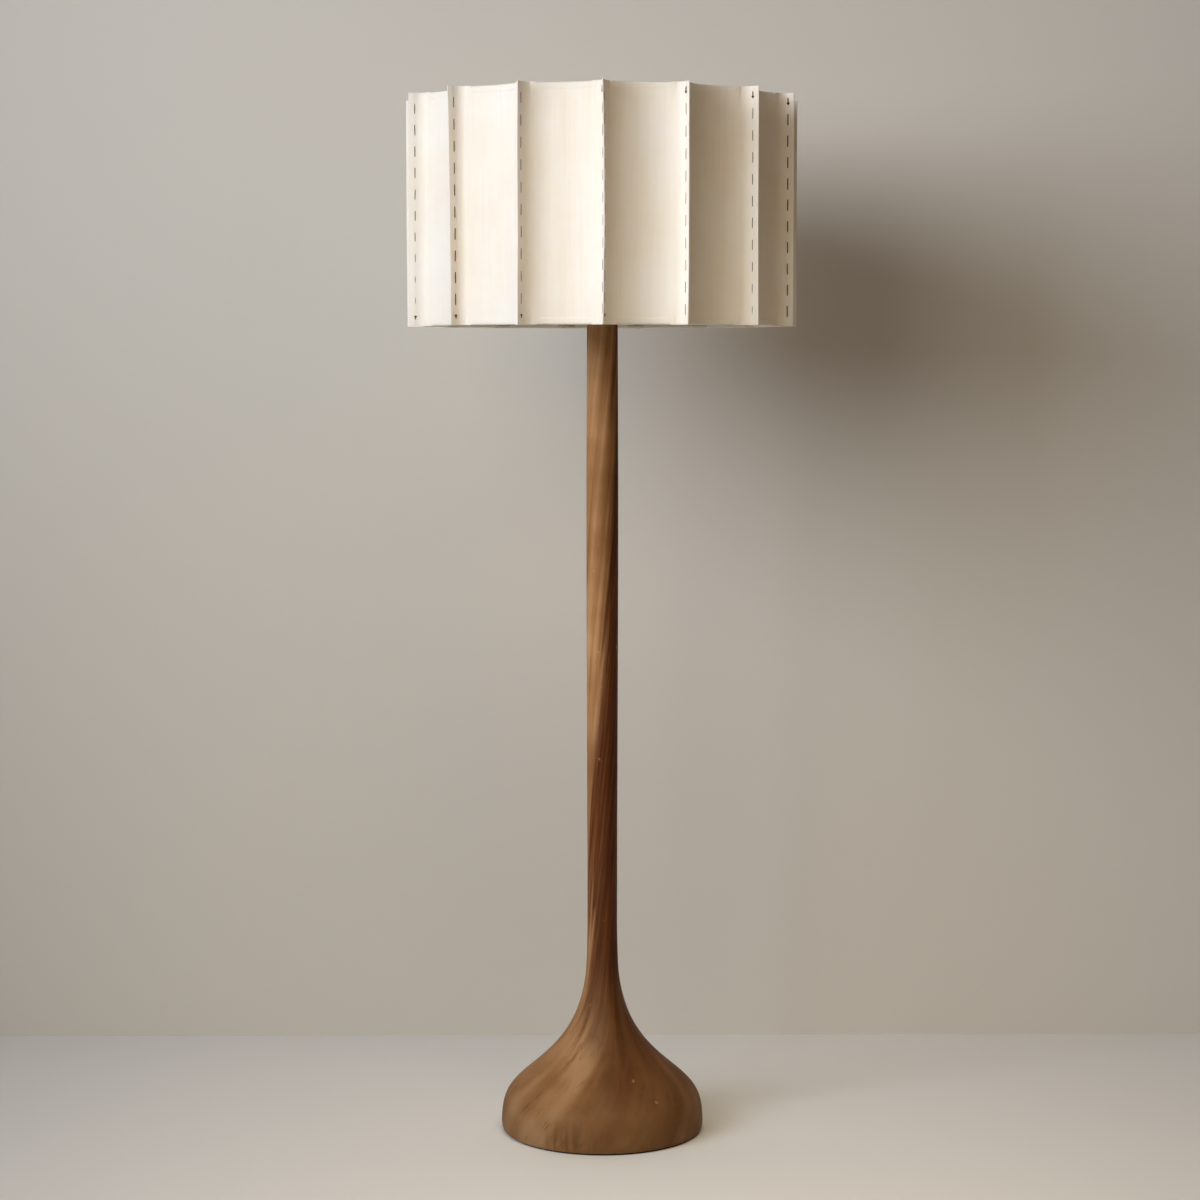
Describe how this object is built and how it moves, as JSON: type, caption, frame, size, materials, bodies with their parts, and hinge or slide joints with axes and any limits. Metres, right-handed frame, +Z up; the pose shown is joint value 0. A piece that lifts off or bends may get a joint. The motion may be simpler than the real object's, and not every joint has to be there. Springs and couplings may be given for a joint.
{
  "type": "floor lamp",
  "caption": "Standing lamp with a turned wooden base and stem, and a scalloped drum shade of stitched parchment panels over a harp.",
  "frame": {"origin": "middle of the foot's underside, on the floor and on the lamp's axis", "axes": "+Z up along the stem; -Y to the front, through one seam of the shade and the switch's knob"},
  "size_m": [0.5722, 0.569, 1.52],
  "materials": {
    "wood": "satin oil on turned hardwood",
    "felt": "matte felt",
    "black_steel": "satin black paint",
    "iron": "rough",
    "steel": "zinc plated",
    "rubber": "matte",
    "brass": "satin lacquered",
    "fibre": "matte pressed fibre",
    "moulding": "satin",
    "nickel": "satin",
    "black_glass": "gloss",
    "frosted_glass": "frosted white",
    "shade_wire": "satin off-white",
    "parchment": "matte goatskin-like parchment sheet",
    "thread": "waxed brown thread"
  },
  "bodies": {
    "stand": {"base": "wood", "base_neck": "wood", "lower_stem": "wood", "upper_stem": "wood", "felt_pad": "felt", "base_cover": "black_steel", "base_weight": "iron", "cover_screws": "steel", "weight_screws": "steel", "pipe_nut": "steel", "pipe_washer": "steel", "lower_pipe": "steel", "upper_pipe": "steel", "pipe_coupling": "steel", "terminal_screws": "steel", "set_screw": "steel", "cord_gland": "rubber", "stem_cap": "brass", "neck_tube": "brass", "harp_saddle": "brass", "saddle_nut": "brass", "harp": "brass", "harp_stud": "brass", "socket_cap": "brass", "socket_shell": "brass", "centre_contact": "brass", "socket_liner": "fibre", "socket_body": "moulding", "screw_shell": "nickel"},
    "shade": {"spider": "brass", "top_ring": "shade_wire", "bottom_ring": "shade_wire", "seam_threads": "thread", "shade_panel_01": "parchment", "shade_panel_02": "parchment", "shade_panel_03": "parchment", "shade_panel_04": "parchment", "shade_panel_05": "parchment", "shade_panel_06": "parchment", "shade_panel_07": "parchment", "shade_panel_08": "parchment", "shade_panel_09": "parchment", "shade_panel_10": "parchment", "shade_panel_11": "parchment", "shade_panel_12": "parchment", "shade_panel_13": "parchment", "shade_panel_14": "parchment", "shade_panel_15": "parchment"},
    "finial": {"finial": "brass"},
    "bulb": {"bulb_glass": "frosted_glass", "bulb_cap": "nickel", "bulb_insulator": "black_glass", "bulb_contact": "nickel"},
    "switch_knob": {"switch_knob": "moulding"},
    "harp_sleeve_left": {"harp_sleeve_left": "brass"},
    "harp_sleeve_right": {"harp_sleeve_right": "brass"}
  },
  "joints": [
    {"name": "shade_swivel", "type": "hinge", "parent": "stand", "child": "shade", "pos_m": [0, 0, 1.49025], "axis": [0, 0, 1], "continuous": true},
    {"name": "finial_lift", "type": "slide", "parent": "stand", "child": "finial", "axis": [0, 0, 1], "range_m": [0, 0.012]},
    {"name": "bulb_lift", "type": "slide", "parent": "stand", "child": "bulb", "axis": [0, 0, 1], "range_m": [0, 0.02]},
    {"name": "switch_turn", "type": "hinge", "parent": "stand", "child": "switch_knob", "pos_m": [0, -0.02, 1.2673], "axis": [0, -1, 0], "continuous": true},
    {"name": "harp_sleeve_left_slide", "type": "slide", "parent": "stand", "child": "harp_sleeve_left", "axis": [0, 0, 1], "range_m": [0, 0.014]},
    {"name": "harp_sleeve_right_slide", "type": "slide", "parent": "stand", "child": "harp_sleeve_right", "axis": [0, 0, 1], "range_m": [0, 0.014]}
  ]
}
